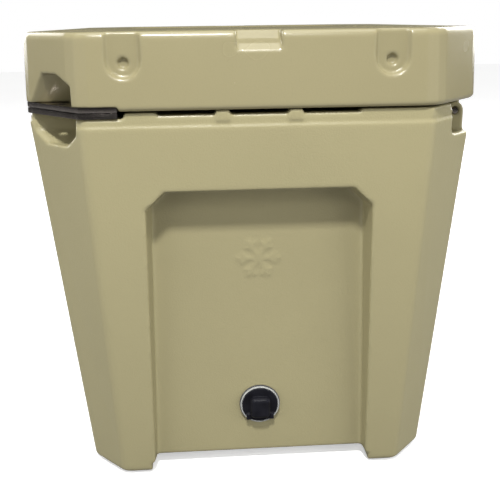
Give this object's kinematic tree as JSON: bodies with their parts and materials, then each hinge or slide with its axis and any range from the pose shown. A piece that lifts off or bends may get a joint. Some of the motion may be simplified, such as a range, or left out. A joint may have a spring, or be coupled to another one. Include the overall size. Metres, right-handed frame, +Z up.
{
  "type": "cooler chest",
  "caption": "Rotationally moulded foam-filled cooler chest with a hinged lid, rubber T-latches, padlock plates, recessed end panels and a screw-out drain plug.",
  "frame": {"origin": "centre of the overall footprint, on the ground", "axes": "+X along the chest towards the drain end, -Y towards the latches, +Y towards the hinge, +Z up"},
  "size_m": [0.5198, 0.3938, 0.402],
  "materials": {
    "tub_plastic": "satin",
    "lid_plastic": "satin",
    "foam": "matte",
    "plate": "satin",
    "steel": "satin",
    "rubber": "matte",
    "seal": "matte",
    "drain_plug": "satin",
    "drain_ring": "gloss"
  },
  "bodies": {
    "tub": {"tub_shell": "tub_plastic", "tub_foam": "foam", "tub_foam_plug_1": "tub_plastic", "tub_foam_plug_2": "tub_plastic", "hinge_rod": "steel", "tub_lock_plate_drain_end": "plate", "tub_lock_plate_far_end": "plate", "tub_plate_screw_1": "steel", "tub_plate_screw_2": "steel", "tub_plate_screw_3": "steel", "tub_plate_screw_4": "steel", "drain_housing": "drain_ring", "drain_outer_washer": "seal", "drain_inner_washer": "seal", "drain_nut": "drain_plug", "foot_pad_1": "rubber", "foot_pad_2": "rubber", "foot_pad_3": "rubber", "foot_pad_4": "rubber", "foot_screw_1": "steel", "foot_screw_2": "steel", "foot_screw_3": "steel", "foot_screw_4": "steel"},
    "lid": {"lid_shell": "lid_plastic", "lid_foam": "foam", "lid_foam_plug": "lid_plastic", "lid_gasket": "seal", "lid_lock_plate_drain_end": "plate", "lid_lock_plate_far_end": "plate", "lid_plate_screw_1": "steel", "lid_plate_screw_2": "steel", "lid_plate_screw_3": "steel", "lid_plate_screw_4": "steel", "latch_pin_left": "steel", "latch_pin_right": "steel"},
    "latch_left_body": {"latch_left": "rubber"},
    "latch_right_body": {"latch_right": "rubber"},
    "plug_ring_body": {"drain_plug_ring": "seal"},
    "plug_body": {"drain_plug": "drain_plug"}
  },
  "joints": [
    {"name": "lid_hinge", "type": "hinge", "parent": "tub", "child": "lid", "pos_m": [0, 0.1825, 0.3285], "axis": [-1, 0, 0], "range_deg": [0, 97]},
    {"name": "latch_left_hinge", "type": "hinge", "parent": "lid", "child": "latch_left_body", "pos_m": [-0.13, -0.1895, 0.372], "axis": [-1, 0, 0], "range_deg": [0, 120]},
    {"name": "latch_right_hinge", "type": "hinge", "parent": "lid", "child": "latch_right_body", "pos_m": [0.13, -0.1895, 0.372], "axis": [-1, 0, 0], "range_deg": [0, 120]},
    {"name": "plug_travel", "type": "slide", "parent": "tub", "child": "plug_ring_body", "axis": [1, 0, 0], "range_m": [0, 0.0075]},
    {"name": "plug_turn", "type": "hinge", "parent": "plug_ring_body", "child": "plug_body", "pos_m": [0.226, 0, 0.062], "axis": [1, 0, 0], "range_deg": [0, 900]}
  ],
  "couplings": [
    {"joint": "plug_travel", "follows": "plug_turn", "m_per_rad": 0.000477}
  ]
}
